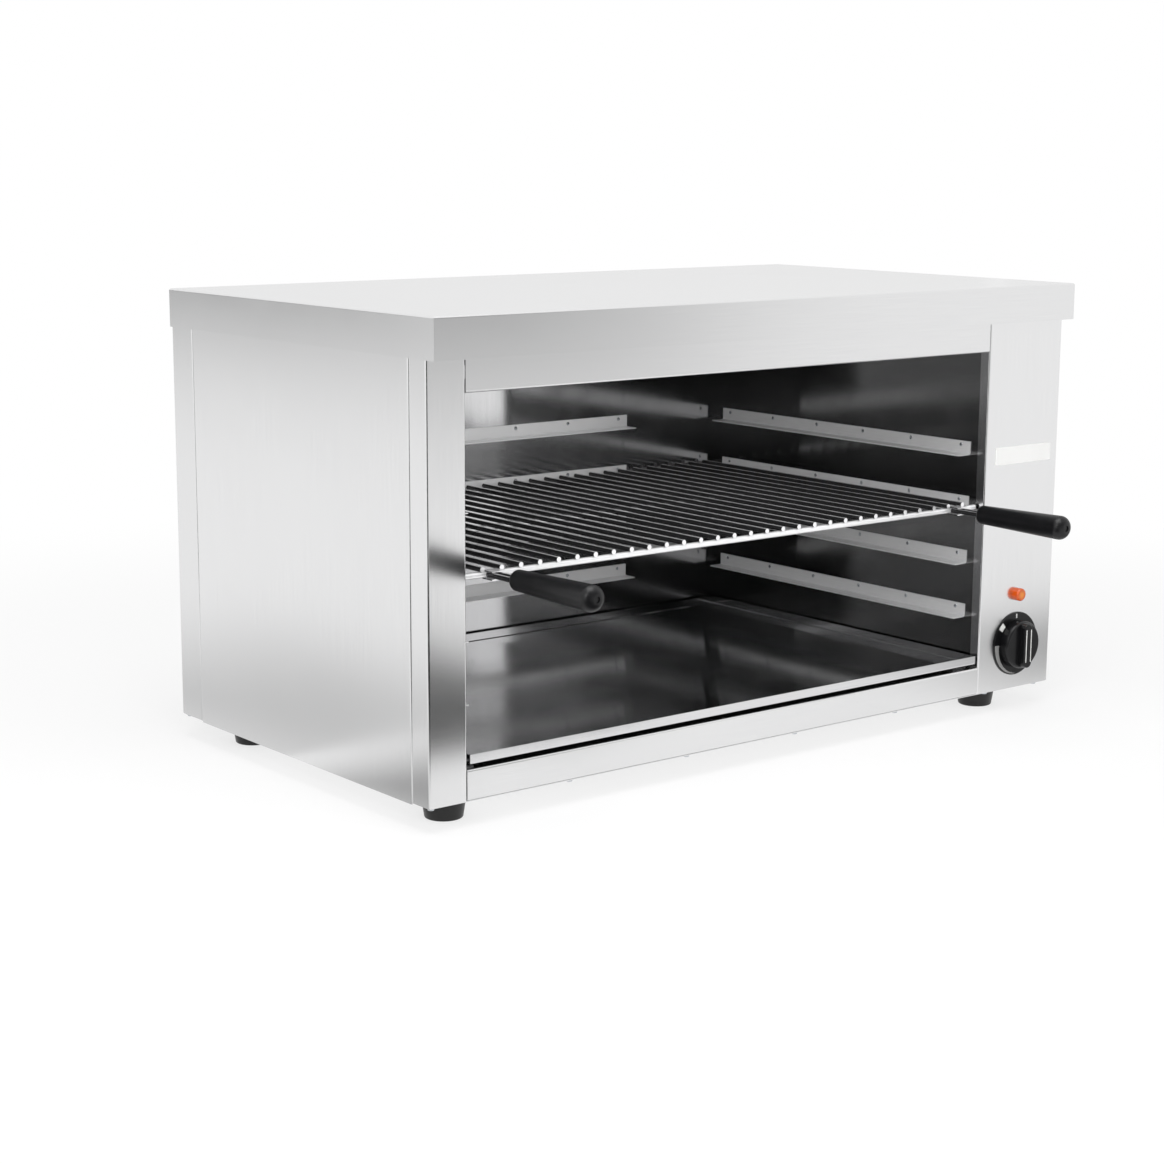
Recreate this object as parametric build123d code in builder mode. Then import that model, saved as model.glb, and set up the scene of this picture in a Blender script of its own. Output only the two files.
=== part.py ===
from build123d import *
import os

# Electric salamander grill: a folded stainless casing round an open-fronted grilling cavity,
# with tubular elements under the roof, rack rails at four levels, a lift-off wire rack,
# a crumb tray and a control panel. Millimetres, +Z up, front towards -Y.

# Overall sizes of the casing
overall_width = 840
overall_depth = 465
overall_height = 465

# Sheet metal
sheet = 1.0
bend_radius = 2.0
fit_gap = 0.2
edge_flange = 12
foot_flange = 12
cut_overrun = 5

# Top cover
front_overhang = 14
skirt_height = 38.5
cover_hem = 11
cover_rest = 20

# Front and sides
post_width = 42
control_width = 115
side_return = 27
inner_return = 12
back_wrap = 41
side_panel_flange = 15
header_drop = 69.5
header_return = 18
header_lip = 10
rail_height = 29
rail_return = 15

# Cavity and its liner
cavity_back_gap = 18.8
ceiling_drop = 23
liner_flange = 12

# Rack rails on three walls
rail_levels = 4
first_level_z = 107
level_spacing = 59
levels_under_rack = 2
angle_height = 14.5
angle_width = 18
side_angle_start = 22
side_angle_end = 14
back_angle_inset = 140.3

# Wire rack
bar_diameter = 6
rod_diameter = 5
rod_count = 30
rod_margin = 24.2
weld_depth = 0.6
rack_clearance = 0.3
rack_end_gap = 3
front_bar_setback = 12
rear_bar_gap = 10
rod_front_reach = 3
rod_rear_reach = 4

# Rack handles
handle_reach = 142
grip_length = 115
grip_rear_diameter = 19.5
grip_front_diameter = 25
grip_nose_radius = 9
grip_heel_radius = 4
grip_dimple_diameter = 6
grip_dimple_depth = 1.2
wire_diameter = 5
wire_spacing = 9
wire_depth_in_grip = 45
wire_hole_gap = 0.1
clip_rod_gap = 0.9
clip_reach = 13
clip_round_share = 0.95

# Crumb tray and its runners
tray_height = 9.5
tray_side_gap = 4
tray_front_setback = 1
tray_rear_gap = 6
tray_lift = 4
tray_clearance = 0.3
runner_width = 20
runner_height = 14

# Heating elements
element_diameter = 8
element_drop = 27
element_leg_spacing = 60
element_margin = 54.4
element_count = 3
element_bend_inset = 45
element_tail = 24
element_hole_gap = 0.3
strap_width = 15
strap_margin = 20
strap_flange = 14
strap_inset = 160
insulator_diameter = 15
insulator_length = 10
pin_diameter = 4
pin_length = 9

# Control panel fittings, with heights from the bottom of the body
dial_height = 49
lamp_height = 104
control_offset = 0.5
dial_diameter = 70
dial_thickness = 1.6
dial_edge = 0.5
knob_diameter = 52
knob_base = 11
knob_edge = 2.5
knob_gap = 0.6
grip_bar_width = 13
grip_bar_length = 50
grip_bar_height = 7
grip_bar_edge = 1.5
grip_bar_taper = 4
knob_bore_depth = 14
spindle_diameter = 6
spindle_flat = 1.5
spindle_depth = 12
running_gap = 0.08
bush_diameter = 10
regulator_size = 46
regulator_depth = 38
regulator_edge = 3
tab_width = 6.3
tab_thickness = 0.8
tab_length = 9
tab_spacing = 14
tab_columns = 3
tab_rows = 2
lamp_diameter = 14
lamp_reach = 8
lamp_edge = 2
lamp_body_diameter = 10
lamp_body_length = 24
lamp_nut_diameter = 18
lamp_nut = 3

# Mains entry at the back
gland_height = 46
gland_reach = 20
gland_flange = 6
gland_hex = 24
gland_dome_diameter = 19
gland_thread_diameter = 16
gland_thread_length = 12
gland_bore_diameter = 10
gland_nut = 5
gland_taper = 8
block_width = 22
block_height = 26
block_step = 9
block_poles = 3
block_slot = 11
block_spacing = 14
block_wall = 3
lead_wire_diameter = 2.8
lead_wire_bend = 8
lead_wire_step = 18
block_lead_rise = 50

# Vents in the back panel
vent_length = 62
vent_width = 5
vent_spacing = 14
vent_rows = 9
vent_height = 190
roof_vent_length = 26
roof_vent_count = 14
roof_vent_spacing = 36
roof_vent_drop = 62

# Feet and screws
foot_height = 24
foot_top_diameter = 42
foot_bottom_diameter = 36
foot_rim = 4
foot_edge = 2
foot_well_diameter = 16
foot_well_depth = 12
foot_left_inset = 46
foot_right_inset = 70
foot_front_inset = 43
foot_rear_inset = 65
foot_screw_diameter = 6
foot_screw_length = 20
foot_head_diameter = 12
foot_head_height = 4
screw_diameter = 3.5
screw_head_diameter = 7.5
screw_head_height = 2.2
screw_head_taper = 25
screw_length = 10
screw_hole_gap = 0.15
screw_inset = 6
rail_screw_margin = 122.05
rail_screw_count = 4
panel_screw_spacing = 80
side_screw_margin = 74.4
cover_screw_margin = 140
cover_screw_count = 3
cover_screw_rise = 10

# Places worked out from the sizes above
body_width = overall_width - 2 * (sheet + fit_gap)
body_depth = overall_depth - front_overhang - sheet - fit_gap
total_depth = handle_reach + body_depth + gland_reach
left_x = -body_width / 2
right_x = body_width / 2
front_y = handle_reach - total_depth / 2
back_y = front_y + body_depth
cover_front_y = front_y - front_overhang
cover_back_y = cover_front_y + overall_depth
body_z = foot_height + sheet
top_z = overall_height - sheet
panel_top_z = overall_height - bend_radius
skirt_z = overall_height - skirt_height
header_bottom_z = overall_height - header_drop
ceiling_z = overall_height - ceiling_drop
element_z = ceiling_z - element_drop
cavity_left_x = left_x + post_width
cavity_right_x = right_x - control_width
cavity_width = cavity_right_x - cavity_left_x
cavity_x = (cavity_left_x + cavity_right_x) / 2
cavity_depth = body_depth - cavity_back_gap
cavity_back_y = front_y + cavity_depth
rail_top_z = body_z + rail_height
control_x = right_x - control_width / 2 + control_offset
dial_z = body_z + dial_height
lamp_z = body_z + lamp_height
gland_z = body_z + gland_height
spindle_hole = spindle_diameter + 2 * running_gap

os.makedirs("parts", exist_ok=True)


def keep(part, name):
    """Label a finished piece and write it under that name."""
    part.label = name
    export_step(part, f"parts/{name}.step")


def bent_section(side, *corners, radius=bend_radius):
    """Section of a folded sheet: its face line through the corners, thickened to one side."""
    with BuildSketch() as section:
        with BuildLine():
            FilletPolyline(*corners, radius=radius)
            offset(amount=sheet, side=side)
        make_face()
    return section.sketch


def plate(x_low, x_high, y_low, y_high, z_low, thickness=sheet):
    """Flat sheet between two corners, added to the piece being built."""
    with Locations((x_low, y_low, z_low)):
        Box(x_high - x_low, y_high - y_low, thickness, align=Align.MIN)


def upright_holes(places, diameter, low, high):
    """Round holes along Z through whatever lies between two heights."""
    with Locations(*[(x, y, low) for x, y in places]):
        Cylinder(
            diameter / 2,
            high - low,
            align=(Align.CENTER, Align.CENTER, Align.MIN),
            mode=Mode.SUBTRACT,
        )


def level_holes(places, diameter, y_low, y_high):
    """Round holes along Y through whatever lies between two depths."""
    with BuildSketch(Plane.XZ.offset(-y_high)) as holes:
        with Locations(*places):
            Circle(diameter / 2)
    extrude(holes.sketch, amount=y_high - y_low, mode=Mode.SUBTRACT)


def flatted_section(diameter):
    """Round section with one flat on its upper side, to be added to a sketch."""
    with BuildSketch() as section:
        Circle(diameter / 2)
        with Locations((0, diameter / 2)):
            Rectangle(diameter, 2 * spindle_flat, mode=Mode.SUBTRACT)
    return section.sketch


screw_hole = screw_diameter + 2 * screw_hole_gap
foot_hole = foot_screw_diameter + 2 * screw_hole_gap

# Screw places under the casing
front_screw_y = front_y + screw_inset
rear_screw_y = back_y - screw_inset
post_screws = [(left_x + screw_inset, front_screw_y)]
rail_screw_spacing = (cavity_width - 2 * rail_screw_margin) / (rail_screw_count - 1)
rail_screws = [
    (cavity_x + (index - (rail_screw_count - 1) / 2) * rail_screw_spacing, front_screw_y)
    for index in range(rail_screw_count)
]
panel_screws = [(control_x + side * panel_screw_spacing / 2, front_screw_y) for side in (-1, 1)]
back_screws = [(x, rear_screw_y) for x, _ in post_screws + rail_screws + panel_screws]
left_side_screws = [
    (left_x + side_panel_flange / 2, y) for y in (front_y + side_screw_margin, back_y - side_screw_margin)
]
right_side_screws = [(-x, y) for x, y in left_side_screws]
flange_screws = post_screws + rail_screws + panel_screws + back_screws
foot_places = [
    (x, y)
    for x in (left_x + foot_left_inset, right_x - foot_right_inset)
    for y in (front_y + foot_front_inset, back_y - foot_rear_inset)
]

# Top cover: a shallow upturned tray with a hem under its front overhang
cover_screw_z = skirt_z + cover_screw_rise
cover_screw_spacing = (overall_width - 2 * cover_screw_margin) / (cover_screw_count - 1)
cover_screw_places = [
    ((index - (cover_screw_count - 1) / 2) * cover_screw_spacing, cover_screw_z)
    for index in range(cover_screw_count)
]
with BuildPart() as top_cover:
    with BuildSketch(Plane.XY.offset(skirt_z)):
        with Locations((0, cover_front_y)):
            Rectangle(overall_width, overall_depth, align=(Align.CENTER, Align.MIN))
    extrude(amount=skirt_height)
    fillet(top_cover.faces().sort_by(Axis.Z)[-1].edges(), radius=bend_radius)
    offset(amount=-sheet, openings=top_cover.faces().sort_by(Axis.Z)[0])
    plate(
        sheet - overall_width / 2,
        overall_width / 2 - sheet,
        cover_front_y + sheet,
        cover_front_y + sheet + cover_hem,
        skirt_z,
    )
    level_holes(cover_screw_places, screw_hole, cover_back_y - cut_overrun, cover_back_y)
keep(top_cover.part, "top_cover")

# Front post: face, side return and the two edges folded back from them
with BuildPart() as front_left_post:
    with BuildSketch(Plane.XY.offset(body_z)):
        add(
            bent_section(
                Side.RIGHT,
                (cavity_left_x, front_y + inner_return),
                (cavity_left_x, front_y),
                (left_x, front_y),
                (left_x, front_y + side_return),
                (left_x + edge_flange, front_y + side_return),
            )
        )
    extrude(amount=panel_top_z - body_z)
    plate(left_x + sheet, cavity_left_x - sheet, front_y + sheet, front_y + foot_flange, body_z)
    upright_holes(post_screws, screw_hole, body_z - cut_overrun, body_z + cut_overrun)
keep(front_left_post.part, "front_left_post")

# Control panel: the wider right-hand post, pierced for the lamp and the regulator
with BuildPart() as control_panel:
    with BuildSketch(Plane.XY.offset(body_z)):
        add(
            bent_section(
                Side.LEFT,
                (cavity_right_x, front_y + inner_return),
                (cavity_right_x, front_y),
                (right_x, front_y),
                (right_x, front_y + side_return),
                (right_x - edge_flange, front_y + side_return),
            )
        )
    extrude(amount=panel_top_z - body_z)
    plate(cavity_right_x + sheet, right_x - sheet, front_y + sheet, front_y + foot_flange, body_z)
    upright_holes(panel_screws, screw_hole, body_z - cut_overrun, body_z + cut_overrun)
    level_holes(
        [(control_x, dial_z)],
        bush_diameter + 2 * fit_gap,
        front_y - cut_overrun,
        front_y + cut_overrun,
    )
    level_holes(
        [(control_x, lamp_z)],
        lamp_body_diameter + 2 * fit_gap,
        front_y - cut_overrun,
        front_y + cut_overrun,
    )
keep(control_panel.part, "control_panel")

# Header over the opening, folded under and up again as a heat lip
with BuildPart() as front_header:
    with BuildSketch(Plane.YZ.offset(cavity_left_x + fit_gap)):
        add(
            bent_section(
                Side.LEFT,
                (front_y + cover_rest, top_z),
                (front_y, top_z),
                (front_y, header_bottom_z),
                (front_y + header_return, header_bottom_z),
                (front_y + header_return, header_bottom_z + header_lip),
            )
        )
    extrude(amount=cavity_width - 2 * fit_gap)
keep(front_header.part, "front_header")

# Bottom rail under the opening
with BuildPart() as bottom_rail:
    with BuildSketch(Plane.YZ.offset(cavity_left_x + fit_gap)):
        add(
            bent_section(
                Side.LEFT,
                (front_y + rail_return, rail_top_z),
                (front_y, rail_top_z),
                (front_y, body_z),
                (front_y + foot_flange, body_z),
            )
        )
    extrude(amount=cavity_width - 2 * fit_gap)
    upright_holes(rail_screws, screw_hole, body_z - cut_overrun, body_z + cut_overrun)
keep(bottom_rail.part, "bottom_rail")

# Side panels: shallow trays hooked under the base
side_front_y = front_y + side_return + fit_gap
side_back_y = back_y - back_wrap - fit_gap
side_bottom_z = foot_height - sheet
for name, edge_x, inward, side, screws in (
    ("left_side_panel", left_x, 1, Side.RIGHT, left_side_screws),
    ("right_side_panel", right_x, -1, Side.LEFT, right_side_screws),
):
    inner_x = sorted((edge_x + inward * sheet, edge_x + inward * (edge_flange + sheet)))
    flange_x = sorted((edge_x + inward * sheet, edge_x + inward * side_panel_flange))
    with BuildPart() as side_panel:
        with BuildSketch(Plane.XY.offset(side_bottom_z)):
            add(
                bent_section(
                    side,
                    (edge_x + inward * edge_flange, side_front_y),
                    (edge_x, side_front_y),
                    (edge_x, side_back_y),
                    (edge_x + inward * edge_flange, side_back_y),
                )
            )
        extrude(amount=panel_top_z - side_bottom_z)
        with Locations((inner_x[0], side_front_y, side_bottom_z)):
            Box(
                inner_x[1] - inner_x[0],
                side_back_y - side_front_y,
                body_z + fit_gap - side_bottom_z,
                align=Align.MIN,
                mode=Mode.SUBTRACT,
            )
        plate(*flange_x, side_front_y + bend_radius, side_back_y - bend_radius, side_bottom_z)
        upright_holes(screws, screw_hole, side_bottom_z - cut_overrun, side_bottom_z + cut_overrun)
    keep(side_panel.part, name)

# Back panel: wraps round both rear corners, with vents and the mains entry
with BuildPart() as back_panel:
    with BuildSketch(Plane.XY.offset(body_z)):
        add(
            bent_section(
                Side.RIGHT,
                (left_x + edge_flange, back_y - back_wrap),
                (left_x, back_y - back_wrap),
                (left_x, back_y),
                (right_x, back_y),
                (right_x, back_y - back_wrap),
                (right_x - edge_flange, back_y - back_wrap),
            )
        )
    extrude(amount=panel_top_z - body_z)
    plate(left_x + bend_radius, right_x - bend_radius, back_y - foot_flange, back_y - sheet, body_z)
    plate(
        left_x + bend_radius,
        right_x - bend_radius,
        back_y - edge_flange,
        back_y - sheet,
        panel_top_z - sheet,
    )
    upright_holes(back_screws, screw_hole, body_z - cut_overrun, body_z + cut_overrun)
    level_holes(
        [(control_x, gland_z)],
        gland_thread_diameter + 2 * fit_gap,
        back_y - cut_overrun,
        back_y + cut_overrun,
    )
    level_holes(cover_screw_places, screw_hole, back_y - cut_overrun, back_y + cut_overrun)
    with BuildSketch(Plane.XZ.offset(-back_y)):
        with Locations((control_x, body_z + vent_height)):
            with GridLocations(0, vent_spacing, 1, vent_rows):
                SlotOverall(vent_length, vent_width)
        with Locations((cavity_x, top_z - roof_vent_drop)):
            with GridLocations(roof_vent_spacing, 0, roof_vent_count, 1):
                SlotOverall(roof_vent_length, vent_width)
    extrude(amount=2 * sheet, mode=Mode.SUBTRACT)
keep(back_panel.part, "back_panel")

# Base pan under the bottom flanges
with BuildPart() as base_pan:
    plate(
        left_x + sheet + fit_gap,
        right_x - sheet - fit_gap,
        front_y + sheet,
        back_y - sheet,
        foot_height,
    )
    upright_holes(
        flange_screws + left_side_screws + right_side_screws,
        screw_hole,
        foot_height - cut_overrun,
        foot_height + cut_overrun,
    )
    upright_holes(foot_places, foot_hole, foot_height - cut_overrun, foot_height + cut_overrun)
keep(base_pan.part, "base_pan")

# Cavity liner: two side walls, back wall and the ceiling that reflects the heat down
liner_front_y = front_y + inner_return + fit_gap
liner_length = cavity_back_y - fit_gap - liner_front_y
first_element_y = liner_front_y + element_margin + element_leg_spacing / 2
last_element_y = cavity_back_y - element_margin - element_leg_spacing / 2
element_spacing = (last_element_y - first_element_y) / (element_count - 1)
element_places = [first_element_y + index * element_spacing for index in range(element_count)]
leg_places = [y + side * element_leg_spacing / 2 for y in element_places for side in (-1, 1)]
with BuildPart() as liner_left_wall:
    with BuildSketch(Plane.XZ.offset(fit_gap - cavity_back_y)):
        add(
            bent_section(
                Side.RIGHT,
                (cavity_left_x - liner_flange, ceiling_z),
                (cavity_left_x, ceiling_z),
                (cavity_left_x, body_z),
                (cavity_left_x - liner_flange, body_z),
            )
        )
    extrude(amount=liner_length)
keep(liner_left_wall.part, "liner_left_wall")

with BuildPart() as liner_right_wall:
    with BuildSketch(Plane.XZ.offset(fit_gap - cavity_back_y)):
        add(
            bent_section(
                Side.LEFT,
                (cavity_right_x + liner_flange, ceiling_z),
                (cavity_right_x, ceiling_z),
                (cavity_right_x, body_z),
                (cavity_right_x + liner_flange, body_z),
            )
        )
    extrude(amount=liner_length)
    with BuildSketch(Plane.YZ.offset(cavity_right_x - cut_overrun)):
        with Locations(*[(y, element_z) for y in leg_places]):
            Circle(element_diameter / 2 + element_hole_gap)
    extrude(amount=2 * cut_overrun, mode=Mode.SUBTRACT)
keep(liner_right_wall.part, "liner_right_wall")

with BuildPart() as liner_back_wall:
    with BuildSketch(Plane.YZ.offset(cavity_left_x - liner_flange)):
        add(
            bent_section(
                Side.LEFT,
                (cavity_back_y + liner_flange, ceiling_z),
                (cavity_back_y, ceiling_z),
                (cavity_back_y, body_z),
            )
        )
    extrude(amount=cavity_width + 2 * liner_flange)
keep(liner_back_wall.part, "liner_back_wall")

with BuildPart() as liner_ceiling:
    plate(
        cavity_left_x - liner_flange,
        cavity_right_x + liner_flange,
        liner_front_y,
        cavity_back_y + liner_flange,
        ceiling_z,
    )
keep(liner_ceiling.part, "liner_ceiling")

# Rack rails: angles with the leg on the wall and the flange turned into the cavity
side_angle_length = cavity_depth - side_angle_start - side_angle_end
back_angle_length = cavity_width - 2 * back_angle_inset
for level in range(rail_levels):
    low_z = first_level_z + level * level_spacing
    high_z = low_z + angle_height
    for name, wall_x, inward, side in (
        ("left", cavity_left_x, 1, Side.LEFT),
        ("right", cavity_right_x, -1, Side.RIGHT),
    ):
        with BuildPart() as rack_rail:
            with BuildSketch(Plane.XZ.offset(-front_y - side_angle_start - side_angle_length)):
                add(
                    bent_section(
                        side,
                        (wall_x, high_z),
                        (wall_x, low_z),
                        (wall_x + inward * angle_width, low_z),
                    )
                )
            extrude(amount=side_angle_length)
        keep(rack_rail.part, f"{name}_rack_rail_{level + 1}")
    with BuildPart() as back_rail:
        with BuildSketch(Plane.YZ.offset(cavity_x - back_angle_length / 2)):
            add(
                bent_section(
                    Side.RIGHT,
                    (cavity_back_y, high_z),
                    (cavity_back_y, low_z),
                    (cavity_back_y - angle_width, low_z),
                )
            )
        extrude(amount=back_angle_length)
    keep(back_rail.part, f"back_rack_rail_{level + 1}")

# Crumb tray on its runners
tray_z = rail_top_z + tray_lift
tray_left_x = cavity_left_x + tray_side_gap
tray_front_y = front_y + tray_front_setback
tray_width = cavity_width - 2 * tray_side_gap
tray_depth = cavity_depth - tray_front_setback - tray_rear_gap
with BuildPart() as crumb_tray:
    with BuildSketch(Plane.XY.offset(tray_z)):
        with Locations((tray_left_x, tray_front_y)):
            Rectangle(tray_width, tray_depth, align=Align.MIN)
    extrude(amount=tray_height)
    fillet(crumb_tray.faces().sort_by(Axis.Z)[0].edges(), radius=bend_radius)
    offset(amount=-sheet, openings=crumb_tray.faces().sort_by(Axis.Z)[-1])
keep(crumb_tray.part, "crumb_tray")

runner_z = tray_z - tray_clearance
runner_start_y = front_y + rail_return + rack_end_gap
for name, wall_x, inward, side in (
    ("left_tray_runner", cavity_left_x, 1, Side.RIGHT),
    ("right_tray_runner", cavity_right_x, -1, Side.LEFT),
):
    with BuildPart() as tray_runner:
        with BuildSketch(Plane.XZ.offset(tray_rear_gap - cavity_back_y)):
            add(
                bent_section(
                    side,
                    (wall_x, runner_z - runner_height),
                    (wall_x, runner_z),
                    (wall_x + inward * runner_width, runner_z),
                )
            )
        extrude(amount=cavity_back_y - tray_rear_gap - runner_start_y)
    keep(tray_runner.part, name)

# Wire rack: thin rods welded on top of three cross bars
rail_face_z = first_level_z + levels_under_rack * level_spacing + sheet
bar_z = rail_face_z + rack_clearance + bar_diameter / 2
rod_z = bar_z + (bar_diameter + rod_diameter) / 2 - weld_depth
front_bar_y = front_y + front_bar_setback
rear_bar_y = cavity_back_y - rear_bar_gap
bar_length = cavity_width - 2 * rack_end_gap
rod_spacing = (cavity_width - 2 * rod_margin) / (rod_count - 1)
rod_front_y = front_bar_y - rod_front_reach
rod_length = rear_bar_y + rod_rear_reach - rod_front_y
with BuildPart() as rack_grid:
    with BuildSketch(Plane.YZ.offset(cavity_x - bar_length / 2)):
        with Locations(*[(y, bar_z) for y in (front_bar_y, (front_bar_y + rear_bar_y) / 2, rear_bar_y)]):
            Circle(bar_diameter / 2)
    extrude(amount=bar_length)
    with BuildSketch(Plane.XZ.offset(-rod_front_y)):
        with Locations((cavity_x, rod_z)):
            with GridLocations(rod_spacing, 0, rod_count, 1):
                Circle(rod_diameter / 2)
    extrude(amount=-rod_length)
keep(rack_grid.part, "rack_grid")

# Rack handles: twin wires held to the front bar by a folded clip, with a tapered grip
handle_offset = (rod_count - 2) / 2 * rod_spacing
grip_tip_y = front_y - handle_reach
grip_heel_y = grip_tip_y + grip_length
wire_front_y = grip_heel_y - wire_depth_in_grip
wire_back_y = front_bar_y - bar_diameter / 2 - wire_hole_gap
clip_width = rod_spacing - rod_diameter - 2 * clip_rod_gap
clip_half = bar_diameter / 2 + wire_hole_gap + sheet
clip_back_y = front_bar_y + clip_half
for name, handle_x in (("left", cavity_x - handle_offset), ("right", cavity_x + handle_offset)):
    wire_places = [(handle_x + side * wire_spacing / 2, bar_z) for side in (-1, 1)]
    with BuildPart() as handle_wires:
        with BuildSketch(Plane.XZ.offset(-wire_back_y)):
            with Locations(*wire_places):
                Circle(wire_diameter / 2)
        extrude(amount=wire_back_y - wire_front_y)
    keep(handle_wires.part, f"{name}_handle_wires")

    with BuildPart() as handle_clip:
        with BuildSketch(Plane.YZ.offset(handle_x - clip_width / 2)):
            add(
                bent_section(
                    Side.RIGHT,
                    (clip_back_y - clip_half - clip_reach, bar_z + clip_half),
                    (clip_back_y, bar_z + clip_half),
                    (clip_back_y, bar_z - clip_half),
                    (clip_back_y - clip_half - clip_reach, bar_z - clip_half),
                    radius=clip_half * clip_round_share,
                )
            )
        extrude(amount=clip_width)
    keep(handle_clip.part, f"{name}_handle_clip")

    with BuildPart() as handle_grip:
        with BuildSketch(Plane.YZ.offset(handle_x)) as grip_profile:
            with BuildLine():
                Polyline(
                    (grip_tip_y, bar_z),
                    (grip_tip_y, bar_z + grip_front_diameter / 2),
                    (grip_heel_y, bar_z + grip_rear_diameter / 2),
                    (grip_heel_y, bar_z),
                    close=True,
                )
            make_face()
            nose = grip_profile.vertices().group_by(Axis.X)[0].sort_by(Axis.Y)[-1]
            fillet(nose, grip_nose_radius)
            heel = grip_profile.vertices().group_by(Axis.X)[-1].sort_by(Axis.Y)[-1]
            fillet(heel, grip_heel_radius)
        revolve(axis=Axis((handle_x, grip_tip_y, bar_z), (0, 1, 0)))
        level_holes(
            wire_places,
            wire_diameter + 2 * wire_hole_gap,
            wire_front_y - wire_hole_gap,
            grip_heel_y + cut_overrun,
        )
        level_holes(
            [(handle_x, bar_z)],
            grip_dimple_diameter,
            grip_tip_y - cut_overrun,
            grip_tip_y + grip_dimple_depth,
        )
    keep(handle_grip.part, f"{name}_handle_grip")

# Heating elements: tubular hairpins whose tails pass through the right liner wall
element_bend_x = cavity_left_x + element_bend_inset + element_leg_spacing / 2
element_end_x = cavity_right_x + element_tail
for name, middle_y in zip(("front", "middle", "rear"), element_places):
    near_y = middle_y - element_leg_spacing / 2
    far_y = middle_y + element_leg_spacing / 2
    with BuildPart() as element:
        with BuildLine(Plane.XY.offset(element_z)) as hairpin:
            Line((element_end_x, near_y), (element_bend_x, near_y))
            ThreePointArc(
                (element_bend_x, near_y),
                (element_bend_x - element_leg_spacing / 2, middle_y),
                (element_bend_x, far_y),
            )
            Line((element_bend_x, far_y), (element_end_x, far_y))
        with BuildSketch(Plane(origin=hairpin.line @ 0, z_dir=hairpin.line % 0)):
            Circle(element_diameter / 2)
        sweep()
    keep(element.part, f"{name}_heating_element")

# Straps that carry the hairpins under the ceiling
strap_z = element_z - element_diameter / 2 - wire_hole_gap
strap_front_y = leg_places[0] - strap_margin
strap_back_y = leg_places[-1] + strap_margin
with BuildPart() as element_straps:
    for strap_x in (cavity_left_x + strap_inset, cavity_right_x - strap_inset):
        with BuildSketch(Plane.YZ.offset(strap_x - strap_width / 2)):
            add(
                bent_section(
                    Side.RIGHT,
                    (strap_front_y - strap_flange, ceiling_z),
                    (strap_front_y, ceiling_z),
                    (strap_front_y, strap_z),
                    (strap_back_y, strap_z),
                    (strap_back_y, ceiling_z),
                    (strap_back_y + strap_flange, ceiling_z),
                )
            )
        extrude(amount=strap_width)
keep(element_straps.part, "element_straps")

# Ceramic bushes and terminal pins at the ends of the elements
bush_start_x = element_end_x - insulator_length
with BuildPart() as element_insulators:
    with BuildSketch(Plane.YZ.offset(bush_start_x)):
        with Locations(*[(y, element_z) for y in leg_places]):
            Circle(insulator_diameter / 2)
            Circle(element_diameter / 2 + wire_hole_gap, mode=Mode.SUBTRACT)
    extrude(amount=insulator_length)
keep(element_insulators.part, "element_insulators")

with BuildPart() as element_pins:
    with BuildSketch(Plane.YZ.offset(element_end_x)):
        with Locations(*[(y, element_z) for y in leg_places]):
            Circle(pin_diameter / 2)
    extrude(amount=pin_length)
keep(element_pins.part, "element_pins")

# Energy regulator behind the control panel, with its bush through the sheet
regulator_face_y = front_y + sheet
regulator_back_y = regulator_face_y + regulator_depth
bush_front_y = front_y - dial_thickness
with BuildPart() as regulator_body:
    with BuildSketch(Plane.XZ.offset(-regulator_back_y)):
        with Locations((control_x, dial_z)):
            RectangleRounded(regulator_size, regulator_size, regulator_edge)
    extrude(amount=regulator_depth)
    with BuildSketch(Plane.XZ.offset(-regulator_face_y)):
        with Locations((control_x, dial_z)):
            Circle(bush_diameter / 2)
    extrude(amount=regulator_face_y - bush_front_y)
    with BuildSketch(Plane.XZ.offset(-regulator_back_y)):
        with Locations((control_x, dial_z)):
            with GridLocations(tab_spacing, tab_spacing, tab_columns, tab_rows):
                Rectangle(tab_thickness, tab_width)
    extrude(amount=-tab_length)
    level_holes(
        [(control_x, dial_z)],
        spindle_hole,
        bush_front_y - cut_overrun,
        regulator_face_y + spindle_depth + running_gap,
    )
keep(regulator_body.part, "regulator_body")

# Dial plate lying on the panel
with BuildPart() as dial_plate:
    with BuildSketch(Plane.XZ.offset(-front_y)):
        with Locations((control_x, dial_z)):
            Circle(dial_diameter / 2)
            Circle(bush_diameter / 2 + fit_gap, mode=Mode.SUBTRACT)
    extrude(amount=dial_thickness)
    chamfer(dial_plate.faces().sort_by(Axis.Y)[0].outer_wire().edges(), dial_edge)
keep(dial_plate.part, "dial_plate")

# Knob: a round base with a raised grip bar, on the flatted spindle
knob_back_y = bush_front_y - knob_gap
knob_face_y = knob_back_y - knob_base
spindle_front_y = knob_back_y - knob_bore_depth
with BuildPart() as control_knob:
    with BuildSketch(Plane.XZ.offset(-knob_back_y)):
        with Locations((control_x, dial_z)):
            Circle(knob_diameter / 2)
    extrude(amount=knob_base)
    fillet(control_knob.faces().sort_by(Axis.Y)[0].edges(), knob_edge)
    with BuildSketch(Plane.XZ.offset(-knob_face_y - knob_edge)):
        with Locations((control_x, dial_z)):
            SlotOverall(grip_bar_length, grip_bar_width, rotation=90)
    extrude(amount=grip_bar_height + knob_edge, taper=grip_bar_taper)
    fillet(control_knob.faces().sort_by(Axis.Y)[0].edges(), grip_bar_edge)
    with BuildSketch(Plane.XZ.offset(-knob_back_y)):
        with Locations((control_x, dial_z)):
            add(flatted_section(spindle_hole))
    extrude(amount=knob_bore_depth + running_gap, mode=Mode.SUBTRACT)
keep(control_knob.part, "control_knob")

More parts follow.
